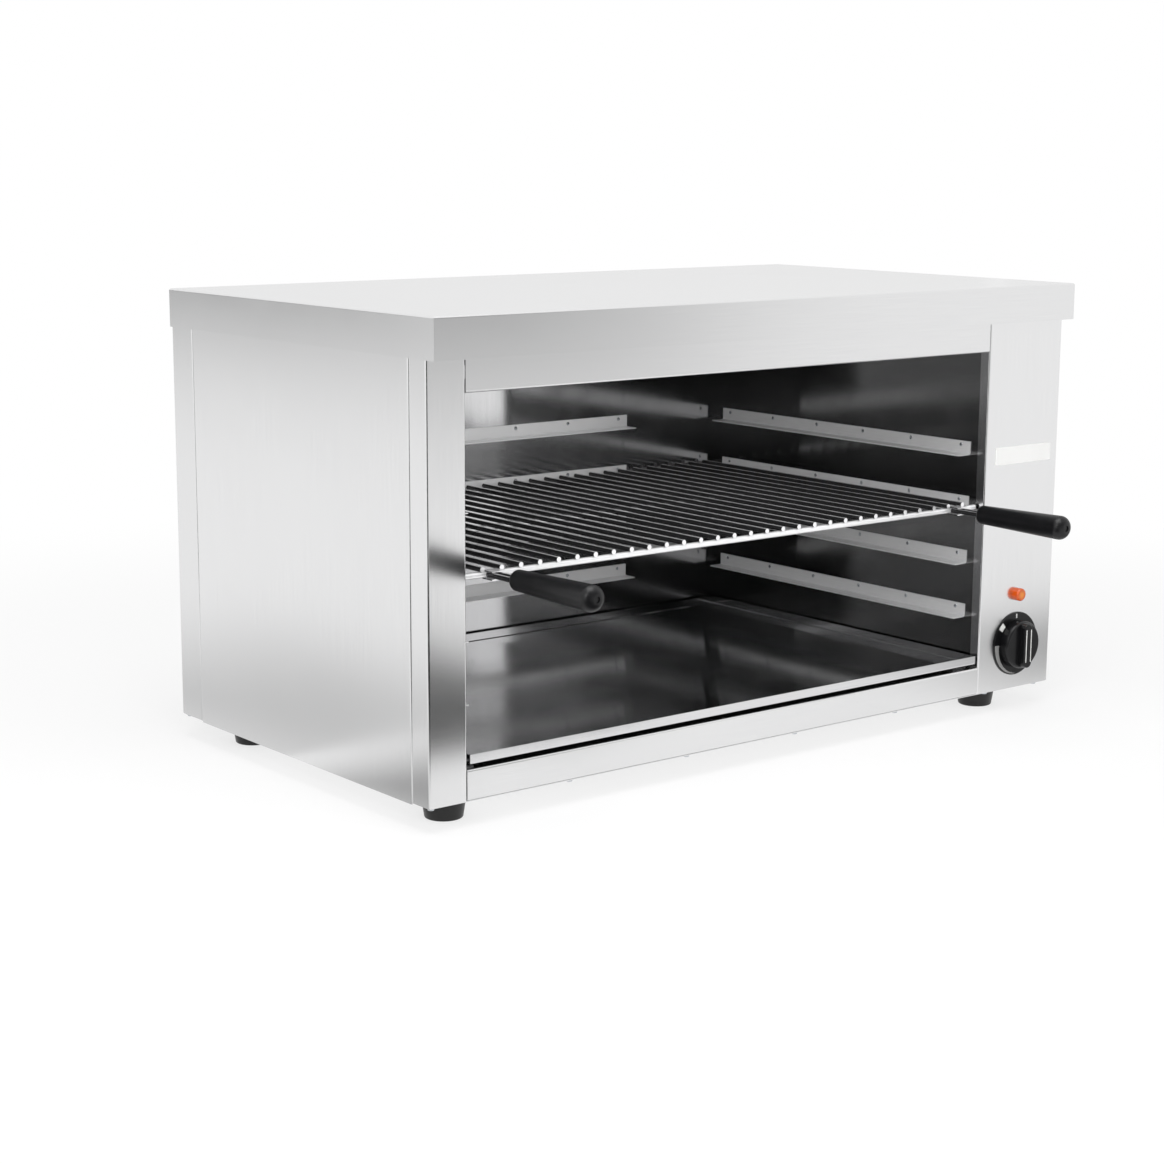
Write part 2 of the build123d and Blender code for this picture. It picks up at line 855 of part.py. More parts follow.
with BuildPart() as regulator_spindle:
    with BuildSketch(Plane.XZ.offset(-regulator_face_y - spindle_depth)):
        with Locations((control_x, dial_z)):
            Circle(spindle_diameter / 2)
    extrude(amount=regulator_face_y + spindle_depth - knob_back_y)
    with BuildSketch(Plane.XZ.offset(-knob_back_y)):
        with Locations((control_x, dial_z)):
            add(flatted_section(spindle_diameter))
    extrude(amount=knob_back_y - spindle_front_y)
keep(regulator_spindle.part, "regulator_spindle")

# Pilot lamp: amber lens in front, lamp body and push-on nut behind
with BuildPart() as pilot_lamp_lens:
    with BuildSketch(Plane.XZ.offset(-front_y)):
        with Locations((control_x, lamp_z)):
            Circle(lamp_diameter / 2)
    extrude(amount=lamp_reach)
    fillet(pilot_lamp_lens.faces().sort_by(Axis.Y)[0].edges(), lamp_edge)
keep(pilot_lamp_lens.part, "pilot_lamp_lens")

lamp_back_y = front_y + lamp_body_length
with BuildPart() as pilot_lamp_body:
    with BuildSketch(Plane.XZ.offset(-lamp_back_y)):
        with Locations((control_x, lamp_z)):
            Circle(lamp_body_diameter / 2)
    extrude(amount=lamp_body_length)
    with BuildSketch(Plane.XZ.offset(-lamp_back_y)):
        with Locations((control_x, lamp_z)):
            with GridLocations(lamp_body_diameter / 2, 0, 2, 1):
                Rectangle(tab_thickness, tab_width)
    extrude(amount=-tab_length)
keep(pilot_lamp_body.part, "pilot_lamp_body")

with BuildPart() as pilot_lamp_nut:
    with BuildSketch(Plane.XZ.offset(-regulator_face_y - lamp_nut)):
        with Locations((control_x, lamp_z)):
            RegularPolygon(lamp_nut_diameter / 2, 6)
            Circle(lamp_body_diameter / 2 + wire_hole_gap, mode=Mode.SUBTRACT)
    extrude(amount=lamp_nut)
keep(pilot_lamp_nut.part, "pilot_lamp_nut")

# Mains entry: gland through the back panel, its lock nut, and the terminal block inside
with BuildPart() as cable_gland:
    with BuildSketch(Plane.XZ.offset(-back_y)):
        with Locations((control_x, gland_z)):
            RegularPolygon(gland_hex / 2, 6)
    extrude(amount=-gland_flange)
    with BuildSketch(Plane.XZ.offset(-back_y - gland_flange)):
        with Locations((control_x, gland_z)):
            Circle(gland_dome_diameter / 2)
    extrude(amount=gland_flange - gland_reach, taper=gland_taper)
    with BuildSketch(Plane.XZ.offset(-back_y)):
        with Locations((control_x, gland_z)):
            Circle(gland_thread_diameter / 2)
    extrude(amount=gland_thread_length)
    level_holes(
        [(control_x, gland_z)],
        gland_bore_diameter,
        back_y - gland_thread_length - cut_overrun,
        back_y + gland_reach + cut_overrun,
    )
keep(cable_gland.part, "cable_gland")

with BuildPart() as gland_lock_nut:
    with BuildSketch(Plane.XZ.offset(sheet - back_y)):
        with Locations((control_x, gland_z)):
            RegularPolygon(gland_hex / 2, 6)
            Circle(gland_thread_diameter / 2 + wire_hole_gap, mode=Mode.SUBTRACT)
    extrude(amount=gland_nut)
keep(gland_lock_nut.part, "gland_lock_nut")

block_y = leg_places[-2]
block_length = block_poles * block_spacing + 2 * block_wall
block_left_x = control_x - block_length / 2
with BuildPart() as terminal_block:
    with BuildSketch(Plane.YZ.offset(block_left_x)):
        with BuildLine():
            Polyline(
                (block_y - block_width / 2, body_z),
                (block_y + block_width / 2, body_z),
                (block_y + block_width / 2, body_z + block_height - block_step),
                (block_y + block_width / 4, body_z + block_height),
                (block_y - block_width / 4, body_z + block_height),
                (block_y - block_width / 2, body_z + block_height - block_step),
                close=True,
            )
        make_face()
    extrude(amount=block_length)
    with BuildSketch(Plane.XY.offset(body_z + block_height)):
        with Locations((control_x, block_y)):
            with GridLocations(block_spacing, 0, block_poles, 1):
                Rectangle(block_slot, block_width / 2 - block_wall)
    extrude(amount=-block_step, mode=Mode.SUBTRACT)
keep(terminal_block.part, "terminal_block")

# Internal wires: links between the hairpins and leads down to the regulator and the terminal block
pin_x = element_end_x + pin_length
block_lead_z = body_z + block_height + block_lead_rise
lead_x = pin_x + lead_wire_step
tab_y = regulator_back_y + tab_length
lead_routes = [
    [
        (pin_x, leg_places[0], element_z),
        (lead_x, leg_places[0], element_z),
        (lead_x, leg_places[0], dial_z + tab_spacing / 2),
        (control_x + tab_spacing, leg_places[0], dial_z + tab_spacing / 2),
        (control_x + tab_spacing, tab_y, dial_z + tab_spacing / 2),
    ],
    [
        (pin_x, leg_places[-1], element_z),
        (lead_x, leg_places[-1], element_z),
        (lead_x, leg_places[-1], block_lead_z),
        (lead_x, block_y, block_lead_z),
        (control_x + block_spacing, block_y, block_lead_z),
        (control_x + block_spacing, block_y, body_z + block_height - block_step),
    ],
    [
        (control_x - tab_spacing, tab_y, dial_z + tab_spacing / 2),
        (control_x - tab_spacing, block_y, dial_z + tab_spacing / 2),
        (control_x - tab_spacing, block_y, body_z + block_height - block_step),
    ],
]
link_routes = [
    [
        (pin_x, leg_places[2 * index + 1], element_z),
        (lead_x, leg_places[2 * index + 1], element_z),
        (lead_x, leg_places[2 * index + 2], element_z),
        (pin_x, leg_places[2 * index + 2], element_z),
    ]
    for index in range(element_count - 1)
]
with BuildPart() as internal_wires:
    for route in lead_routes + link_routes:
        with BuildLine() as lead:
            FilletPolyline(*route, radius=lead_wire_bend)
        with BuildSketch(Plane(origin=lead.line @ 0, z_dir=lead.line % 0)):
            Circle(lead_wire_diameter / 2)
        sweep(path=lead.line)
keep(internal_wires.part, "internal_wires")

# Feet: tapered, with a well below for the fixing screw
for name, (foot_x, foot_y) in zip(
    ("front_left", "rear_left", "front_right", "rear_right"), foot_places
):
    with BuildPart() as foot:
        with BuildSketch(Plane.XZ.offset(-foot_y)) as foot_profile:
            with BuildLine():
                Polyline(
                    (foot_x + foot_hole / 2, foot_well_depth),
                    (foot_x + foot_well_diameter / 2, foot_well_depth),
                    (foot_x + foot_well_diameter / 2, 0),
                    (foot_x + foot_bottom_diameter / 2, 0),
                    (foot_x + foot_top_diameter / 2, foot_height - foot_rim),
                    (foot_x + foot_top_diameter / 2, foot_height),
                    (foot_x + foot_hole / 2, foot_height),
                    close=True,
                )
            make_face()
            toe = foot_profile.vertices().group_by(Axis.Y)[0].sort_by(Axis.X)[-1]
            fillet(toe, foot_edge)
        revolve(axis=Axis((foot_x, foot_y, 0), (0, 0, 1)))
    keep(foot.part, f"{name}_foot")

# Screws: into the feet from below, under the casing, and through the rear skirt of the cover
with BuildPart() as foot_screws:
    with BuildSketch(Plane.XY.offset(foot_well_depth)):
        with Locations(*foot_places):
            Circle(foot_head_diameter / 2)
    extrude(amount=-foot_head_height)
    with BuildSketch(Plane.XY.offset(foot_well_depth)):
        with Locations(*foot_places):
            Circle(foot_screw_diameter / 2)
    extrude(amount=foot_screw_length)
keep(foot_screws.part, "foot_screws")

with BuildPart() as base_screws:
    for seat_z, places in (
        (foot_height, flange_screws),
        (side_bottom_z, left_side_screws + right_side_screws),
    ):
        with BuildSketch(Plane.XY.offset(seat_z)):
            with Locations(*places):
                Circle(screw_head_diameter / 2)
        extrude(amount=-screw_head_height, taper=screw_head_taper)
        with BuildSketch(Plane.XY.offset(seat_z)):
            with Locations(*places):
                Circle(screw_diameter / 2)
        extrude(amount=screw_length)
keep(base_screws.part, "base_screws")

with BuildPart() as cover_screws:
    with BuildSketch(Plane.XZ.offset(-cover_back_y)):
        with Locations(*cover_screw_places):
            Circle(screw_head_diameter / 2)
    extrude(amount=-screw_head_height, taper=screw_head_taper)
    with BuildSketch(Plane.XZ.offset(-cover_back_y)):
        with Locations(*cover_screw_places):
            Circle(screw_diameter / 2)
    extrude(amount=screw_length)
keep(cover_screws.part, "cover_screws")
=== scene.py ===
"""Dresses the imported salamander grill: finishes, small fittings, studio light and camera.

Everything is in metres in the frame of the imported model: X to the right, Y to the back, Z up.
"""

import logging
import math
from dataclasses import dataclass, replace
from enum import Enum

import bpy
import numpy as np
from mathutils import Matrix, Vector


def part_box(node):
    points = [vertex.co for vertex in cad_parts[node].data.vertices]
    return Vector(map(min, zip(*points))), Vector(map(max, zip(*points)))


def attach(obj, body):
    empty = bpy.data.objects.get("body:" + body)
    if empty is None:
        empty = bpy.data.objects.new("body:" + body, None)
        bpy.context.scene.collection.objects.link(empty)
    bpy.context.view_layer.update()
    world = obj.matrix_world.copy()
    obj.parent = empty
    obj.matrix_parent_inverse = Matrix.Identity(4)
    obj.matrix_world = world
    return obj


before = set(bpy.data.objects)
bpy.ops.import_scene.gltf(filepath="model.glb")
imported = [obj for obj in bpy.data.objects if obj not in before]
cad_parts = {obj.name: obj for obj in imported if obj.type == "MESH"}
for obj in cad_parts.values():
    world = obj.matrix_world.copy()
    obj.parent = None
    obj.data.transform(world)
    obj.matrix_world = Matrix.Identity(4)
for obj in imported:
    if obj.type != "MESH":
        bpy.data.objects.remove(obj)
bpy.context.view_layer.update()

log = logging.getLogger("salamander_grill")

MM = 0.001
PHOTO_PIXELS = 1164
SENSOR_MM = 36.0
CRISP_ANGLE = 0.6


class Grain(Enum):
    """Direction in which the belt or the rolls ran over a sheet."""

    ALONG_X = (True, False, False)
    ALONG_Y = (False, True, False)
    ALONG_Z = (False, False, True)


class Body(Enum):
    """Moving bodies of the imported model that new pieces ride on."""

    CASING = "casing"
    KNOB = "knob"


def linear(colour: str) -> tuple[float, float, float, float]:
    """Turns an sRGB hex colour into linear values.

    Args:
        colour: Six hex digits after a hash sign.

    Returns:
        Linear red, green and blue, and full opacity.
    """
    shares = np.array([int(colour[i : i + 2], 16) for i in (1, 3, 5)]) / 255.0
    values = np.where(shares <= 0.04045, shares / 12.92, ((shares + 0.055) / 1.055) ** 2.4)
    return (*values.tolist(), 1.0)


def add_node(
    tree: bpy.types.NodeTree,
    kind: str,
    values: dict | None = None,
    links: dict | None = None,
    **settings: object,
) -> bpy.types.Node:
    """Adds one shader node with its settings, socket values and incoming links.

    Args:
        tree: Node tree that receives the node.
        kind: Blender's type name of the node.
        values: Default values by input name or number.
        links: Source sockets by input name or number.
        **settings: Properties of the node itself.

    Returns:
        The new node.
    """
    node = tree.nodes.new(kind)
    for name, value in settings.items():
        setattr(node, name, value)
    for socket, value in (values or {}).items():
        node.inputs[socket].default_value = value
    for socket, source in (links or {}).items():
        tree.links.new(source, node.inputs[socket])
    return node


def new_material(name: str) -> tuple[bpy.types.Material, bpy.types.NodeTree, bpy.types.Node]:
    """Starts a node material that holds only its output.

    Args:
        name: Name of the material.

    Returns:
        The material, its node tree and its output node.
    """
    material = bpy.data.materials.new(name)
    material.use_nodes = True
    material.node_tree.nodes.clear()
    return material, material.node_tree, add_node(material.node_tree, "ShaderNodeOutputMaterial")


@dataclass(frozen=True)
class SteelFinish:
    """Stainless sheet or wire, ground, rolled, polished or plated.

    Fine lines along the grain break the highlight into a soft sheen, and faint wipe marks
    vary the gloss over a hand's width.
    """

    name: str
    colour: str
    line_colour: str
    grain: Grain
    roughness: float
    line_spread: float
    wipe_spread: float
    line_mm: float
    line_length_mm: float
    relief_mm: float
    wipe_mm: float
    smear: float = 0.0
    smear_along: tuple[float, float, float] = (0.0, 0.0, 1.0)
    metal: float = 1.0

    def build(self) -> bpy.types.Material:
        """Makes the node material.

        Returns:
            A metal whose colour, gloss and bump follow lines stretched along the grain.
        """
        material, tree, output = new_material(self.name)
        place = add_node(tree, "ShaderNodeTexCoord").outputs["Object"]
        scale = [1.0 / ((self.line_length_mm if along else self.line_mm) * MM) for along in self.grain.value]
        stretched = add_node(tree, "ShaderNodeMapping", {"Scale": scale}, {"Vector": place})
        lines = add_node(
            tree,
            "ShaderNodeTexNoise",
            {"Scale": 1.0, "Detail": 3.0, "Roughness": 0.6},
            {"Vector": stretched.outputs["Vector"]},
        ).outputs["Fac"]
        wipes = add_node(
            tree,
            "ShaderNodeTexNoise",
            {"Scale": 1.0 / (self.wipe_mm * MM), "Detail": 4.0, "Distortion": 0.8},
            {"Vector": place},
        ).outputs["Fac"]
        colour = add_node(
            tree,
            "ShaderNodeMix",
            {6: linear(self.colour), 7: linear(self.line_colour)},
            {"Factor": lines},
            data_type="RGBA",
        )
        line_gloss = add_node(
            tree,
            "ShaderNodeMapRange",
            {"To Min": self.roughness - self.line_spread, "To Max": self.roughness + self.line_spread},
            {"Value": lines},
        ).outputs["Result"]
        wipe_gloss = add_node(
            tree,
            "ShaderNodeMapRange",
            {"From Min": 0.35, "From Max": 0.7, "To Min": 0.0, "To Max": self.wipe_spread},
            {"Value": wipes},
        ).outputs["Result"]
        gloss = add_node(tree, "ShaderNodeMath", None, {0: line_gloss, 1: wipe_gloss}, operation="ADD")
        bump = add_node(
            tree,
            "ShaderNodeBump",
            {"Strength": 1.0, "Distance": self.relief_mm * MM},
            {"Height": lines},
        )
        steel = add_node(
            tree,
            "ShaderNodeBsdfPrincipled",
            {"Metallic": self.metal, "Anisotropic": self.smear},
            {
                "Base Color": colour.outputs[2],
                "Roughness": gloss.outputs["Value"],
                "Normal": bump.outputs["Normal"],
            },
        )
        if self.smear > 0.0:
            across = add_node(tree, "ShaderNodeCombineXYZ", dict(zip("XYZ", self.smear_along)))
            tree.links.new(across.outputs["Vector"], steel.inputs["Tangent"])
        tree.links.new(steel.outputs["BSDF"], output.inputs["Surface"])
        return material


@dataclass(frozen=True)
class WireFinish:
    """Chromed wire of a grill rack, with a painted highlight on top and painted shade down its flanks.

    Each rod gives the eye a thin bright line between two dark ones.
    """

    name: str
    worn_colour: str
    smoked_colour: str
    roughness: float
    roughness_spread: float
    metal: float
    worn_to: float
    smoked_from: float
    edge_spread: float
    stain_mm: float
    relief_mm: float

    def build(self) -> bpy.types.Material:
        """Makes the node material.

        How far the surface faces sideways, along X, sets how much painted shade it takes in place of the
        painted highlight; noise breaks up the edge and the gloss.

        Returns:
            A metal with a painted highlight on its tops and painted shade on its flanks.
        """
        material, tree, output = new_material(self.name)
        spot = add_node(tree, "ShaderNodeTexCoord").outputs
        stain = add_node(
            tree,
            "ShaderNodeTexNoise",
            {"Scale": 1.0 / (self.stain_mm * MM), "Detail": 4.0},
            {"Vector": spot["Object"]},
        ).outputs["Fac"]
        facing = add_node(tree, "ShaderNodeSeparateXYZ", None, {"Vector": spot["Normal"]}).outputs["X"]
        sideways = add_node(tree, "ShaderNodeMath", None, {0: facing}, operation="ABSOLUTE").outputs["Value"]
        uneven = add_node(
            tree,
            "ShaderNodeMath",
            {1: self.edge_spread, 2: -self.edge_spread / 2},
            {0: stain},
            operation="MULTIPLY_ADD",
        ).outputs["Value"]
        reach = add_node(tree, "ShaderNodeMath", None, {0: sideways, 1: uneven}, operation="ADD").outputs["Value"]
        # Painted shade on the flanks and painted highlight on the tops, by how far the surface faces along X.
        smoked = add_node(
            tree,
            "ShaderNodeMapRange",
            {"From Min": self.worn_to, "From Max": self.smoked_from},
            {"Value": reach},
            interpolation_type="SMOOTHSTEP",
        ).outputs["Result"]
        colour = add_node(
            tree,
            "ShaderNodeMix",
            {6: linear(self.worn_colour), 7: linear(self.smoked_colour)},
            {"Factor": smoked},
            data_type="RGBA",
        )
        gloss = add_node(
            tree,
            "ShaderNodeMapRange",
            {"To Min": self.roughness - self.roughness_spread, "To Max": self.roughness + self.roughness_spread},
            {"Value": stain},
        )
        bump = add_node(
            tree, "ShaderNodeBump", {"Strength": 1.0, "Distance": self.relief_mm * MM}, {"Height": stain}
        )
        wire = add_node(
            tree,
            "ShaderNodeBsdfPrincipled",
            {"Metallic": self.metal},
            {
                "Base Color": colour.outputs[2],
                "Roughness": gloss.outputs["Result"],
                "Normal": bump.outputs["Normal"],
            },
        )
        tree.links.new(wire.outputs["BSDF"], output.inputs["Surface"])
        return material


@dataclass(frozen=True)
class MouldedFinish:
    """Moulded plastic, rubber, fired ceramic or printed ink.

    A fine grain left by the mould dulls the highlight, and a slow mottle shifts the tone.
    """

    name: str
    colour: str
    mottle_colour: str
    roughness: float
    roughness_spread: float
    ior: float
    specular: float
    grain_mm: float
    relief_mm: float
    mottle_mm: float

    def build(self) -> bpy.types.Material:
        """Makes the node material.

        Returns:
            A non-metal with a mottled colour and a grained surface.
        """
        material, tree, output = new_material(self.name)
        place = add_node(tree, "ShaderNodeTexCoord").outputs["Object"]
        grain = add_node(
            tree,
            "ShaderNodeTexNoise",
            {"Scale": 1.0 / (self.grain_mm * MM), "Detail": 2.0},
            {"Vector": place},
        ).outputs["Fac"]
        mottle = add_node(
            tree,
            "ShaderNodeTexNoise",
            {"Scale": 1.0 / (self.mottle_mm * MM), "Detail": 5.0, "Roughness": 0.6},
            {"Vector": place},
        ).outputs["Fac"]
        colour = add_node(
            tree,
            "ShaderNodeMix",
            {6: linear(self.colour), 7: linear(self.mottle_colour)},
            {"Factor": mottle},
            data_type="RGBA",
        )
        gloss = add_node(
            tree,
            "ShaderNodeMapRange",
            {
                "From Min": 0.3,
                "From Max": 0.7,
                "To Min": self.roughness - self.roughness_spread,
                "To Max": self.roughness + self.roughness_spread,
            },
            {"Value": mottle},
        )
        bump = add_node(
            tree,
            "ShaderNodeBump",
            {"Strength": 1.0, "Distance": self.relief_mm * MM},
            {"Height": grain},
        )
        plastic = add_node(
            tree,
            "ShaderNodeBsdfPrincipled",
            {"IOR": self.ior, "Specular IOR Level": self.specular},
            {
                "Base Color": colour.outputs[2],
                "Roughness": gloss.outputs["Result"],
                "Normal": bump.outputs["Normal"],
            },
        )
        tree.links.new(plastic.outputs["BSDF"], output.inputs["Surface"])
        return material


@dataclass(frozen=True)
class LensFinish:
    """Clear tinted polycarbonate, moulded with fine rings that scatter the lamp's light.

    It looks deep orange at the rim, where the eye looks through more of it, and brighter in
    the middle.
    """

    name: str
    rim_colour: str
    heart_colour: str
    roughness: float
    ior: float
    ring_mm: float
    relief_mm: float
    radius_mm: float
    clear_share: float

    def build(self, centre: Vector) -> bpy.types.Material:
        """Makes the node material.

        Args:
            centre: Middle of the lens, where the rings start.

        Returns:
            A part-clear plastic, tinted from the middle to the rim.
        """
        material, tree, output = new_material(self.name)
        place = add_node(tree, "ShaderNodeTexCoord").outputs["Object"]
        centred = add_node(
            tree,
            "ShaderNodeMapping",
            {"Location": (-centre.x, 0.0, -centre.z), "Scale": (1.0, 0.0, 1.0)},
            {"Vector": place},
        ).outputs["Vector"]
        radius = add_node(tree, "ShaderNodeVectorMath", None, {0: centred}, operation="LENGTH")
        share = add_node(
            tree,
            "ShaderNodeMapRange",
            {"From Max": self.radius_mm * MM},
            {"Value": radius.outputs["Value"]},
            interpolation_type="SMOOTHSTEP",
        ).outputs["Result"]
        colour = add_node(
            tree,
            "ShaderNodeMix",
            {6: linear(self.heart_colour), 7: linear(self.rim_colour)},
            {"Factor": share},
            data_type="RGBA",
        )
        turns = add_node(
            tree,
            "ShaderNodeMath",
            {1: 2.0 * math.pi / (self.ring_mm * MM)},
            {0: radius.outputs["Value"]},
            operation="MULTIPLY",
        )
        rings = add_node(tree, "ShaderNodeMath", None, {0: turns.outputs["Value"]}, operation="SINE")
        bump = add_node(
            tree,
            "ShaderNodeBump",
            {"Strength": 1.0, "Distance": self.relief_mm * MM},
            {"Height": rings.outputs["Value"]},
        )
        lens = add_node(
            tree,
            "ShaderNodeBsdfPrincipled",
            {"IOR": self.ior, "Roughness": self.roughness, "Transmission Weight": self.clear_share},
            {"Base Color": colour.outputs[2], "Normal": bump.outputs["Normal"]},
        )
        tree.links.new(lens.outputs["BSDF"], output.inputs["Surface"])
        return material


# A belt leaves level lines that draw the light out into a soft sheen. Real grit lines are too
# fine to show from here, so they are drawn 0.7 mm wide.
GROUND_FRONT = SteelFinish(
    name="ground_stainless_sheet_level",
    colour="#e9e9e9",
    line_colour="#e1e1e2",
    grain=Grain.ALONG_X,
    roughness=0.2,
    line_spread=0.03,
    wipe_spread=0.03,
    line_mm=0.7,
    line_length_mm=60.0,
    relief_mm=0.0012,
    wipe_mm=130.0,
)
# The same sheet with the belt run upright, so its sheen draws out to the sides.
GROUND_SIDE = replace(
    GROUND_FRONT,
    name="ground_stainless_sheet_upright",
    colour="#ebebeb",
    line_colour="#e3e3e4",
    grain=Grain.ALONG_Z,
)
# Bright rolls leave nearly a mirror, smeared upright, with faint roll lines coarser than real.
MIRROR_LINER = SteelFinish(
    name="bright_rolled_stainless_liner",
    colour="#e2e2e3",
    line_colour="#d6d6d7",
    grain=Grain.ALONG_Z,
    roughness=0.085,
    line_spread=0.015,
    wipe_spread=0.03,
    line_mm=1.2,
    line_length_mm=90.0,
    relief_mm=0.0006,
    wipe_mm=70.0,
    smear=0.9,
)
# The same sheet at the sides, darkened as painted shade, so the cavity looks deep.
HEATED_LINER = replace(MIRROR_LINER, name="stainless_liner_painted_shade", colour="#989898", line_colour="#8c8c8c")
# The same sheet lying flat: its mirror is smeared from front to back.
MIRROR_TRAY = replace(
    MIRROR_LINER,
    name="bright_rolled_stainless_tray",
    grain=Grain.ALONG_X,
    wipe_mm=60.0,
    smear_along=(0.0, 1.0, 0.0),
)
# Pickling dulls the angle to a pale grey that shows no clear reflection.
PICKLED_ANGLE = SteelFinish(
    name="pickled_stainless_angle",
    colour="#e6e6e6",
    line_colour="#d6d6d7",
    grain=Grain.ALONG_Y,
    roughness=0.4,
    line_spread=0.05,
    wipe_spread=0.06,
    line_mm=0.8,
    line_length_mm=30.0,
    relief_mm=0.003,
    wipe_mm=40.0,
    metal=0.45,
)
# Chrome with a painted highlight on top and painted shade at the flanks: bright lines on dark ones.
CHROMED_WIRE = WireFinish(
    name="chromed_steel_wire_painted_highlight",
    worn_colour="#f4f4f5",
    smoked_colour="#353536",
    roughness=0.2,
    roughness_spread=0.06,
    metal=0.6,
    worn_to=0.25,
    smoked_from=0.6,
    edge_spread=0.25,
    stain_mm=9.0,
    relief_mm=0.01,
)
# Plating over a drawn fastener: a cool grey with a short, broken sheen.
ZINC_PLATE = SteelFinish(
    name="bright_zinc_plated_steel",
    colour="#cfd2d6",
    line_colour="#b6babf",
    grain=Grain.ALONG_X,
    roughness=0.24,
    line_spread=0.06,
    wipe_spread=0.08,
    line_mm=0.6,
    line_length_mm=2.0,
    relief_mm=0.004,
    wipe_mm=8.0,
)
# Red heat leaves a dull brown-grey scale on the sheath.
OXIDISED_SHEATH = SteelFinish(
    name="oxidised_nickel_alloy_sheath",
    colour="#6d6a63",
    line_colour="#4d4a46",
    grain=Grain.ALONG_X,
    roughness=0.42,
    line_spread=0.07,
    wipe_spread=0.12,
    line_mm=0.9,
    line_length_mm=22.0,
    relief_mm=0.006,
    wipe_mm=28.0,
)
# Pressed in a polished mould: deep black with a clear highlight.
PHENOLIC = MouldedFinish(
    name="moulded_black_phenolic",
    colour="#0c0c0d",
    mottle_colour="#131315",
    roughness=0.22,
    roughness_spread=0.05,
    ior=1.6,
    specular=0.25,
    grain_mm=0.5,
    relief_mm=0.006,
    mottle_mm=9.0,
)
# The same plastic worn by hands: a broader, softer highlight.
GRIP_PHENOLIC = replace(
    PHENOLIC,
    name="moulded_black_phenolic_grip",
    mottle_colour="#141416",
    roughness=0.34,
    roughness_spread=0.06,
    grain_mm=0.8,
    relief_mm=0.008,
    mottle_mm=12.0,
)
# Moulded rubber: soft black that hardly shines.
RUBBER = MouldedFinish(
    name="moulded_black_rubber",
    colour="#111111",
    mottle_colour="#1a1a1a",
    roughness=0.4,
    roughness_spread=0.08,
    ior=1.52,
    specular=0.35,
    grain_mm=0.7,
    relief_mm=0.01,
    mottle_mm=10.0,
)
# Moulded nylon: a shade greyer than the phenolic, with a dull skin.
NYLON = MouldedFinish(
    name="moulded_black_nylon",
    colour="#191a1b",
    mottle_colour="#232425",
    roughness=0.42,
    roughness_spread=0.06,
    ior=1.53,
    specular=0.4,
    grain_mm=0.6,
    relief_mm=0.01,
    mottle_mm=8.0,
)
# Glaze over fired clay: warm white under a wet gloss.
CERAMIC = MouldedFinish(
    name="glazed_white_ceramic",
    colour="#eceae4",
    mottle_colour="#dedbd2",
    roughness=0.18,
    roughness_spread=0.05,
    ior=1.55,
    specular=0.5,
    grain_mm=1.2,
    relief_mm=0.01,
    mottle_mm=5.0,
)
# Extruded silicone: a matt warm grey.
SILICONE = MouldedFinish(
    name="extruded_silicone_wire_cover",
    colour="#a8a29a",
    mottle_colour="#97918a",
    roughness=0.5,
    roughness_spread=0.06,
    ior=1.43,
    specular=0.5,
    grain_mm=0.8,
    relief_mm=0.008,
    mottle_mm=15.0,
)
# Ink laid through a screen: flat, with the faint weave of the mesh.
WHITE_INK = MouldedFinish(
    name="screen_printed_white_ink",
    colour="#eeeeec",
    mottle_colour="#dfdfdc",
    roughness=0.5,
    roughness_spread=0.05,
    ior=1.5,
    specular=0.5,
    grain_mm=0.3,
    relief_mm=0.004,
    mottle_mm=3.0,
)
GREY_INK = replace(WHITE_INK, name="screen_printed_grey_ink", colour="#8f8f8e", mottle_colour="#7f7f7e")
# Enamel stoved on thin metal: a clean white with a soft gloss.
PLATE_ENAMEL = MouldedFinish(
    name="white_enamelled_plate",
    colour="#f2f2f1",
    mottle_colour="#eeeeec",
    roughness=0.3,
    roughness_spread=0.04,
    ior=1.5,
    specular=0.4,
    grain_mm=1.0,
    relief_mm=0.001,
    mottle_mm=25.0,
)
# Moulded in a ringed tool: orange that is brighter in the middle.
AMBER = LensFinish(
    name="moulded_amber_polycarbonate",
    rim_colour="#e2590a",
    heart_colour="#ff9a1f",
    roughness=0.14,
    ior=1.58,
    ring_mm=1.4,
    relief_mm=0.12,
    radius_mm=7.0,
    clear_share=0.2,
)


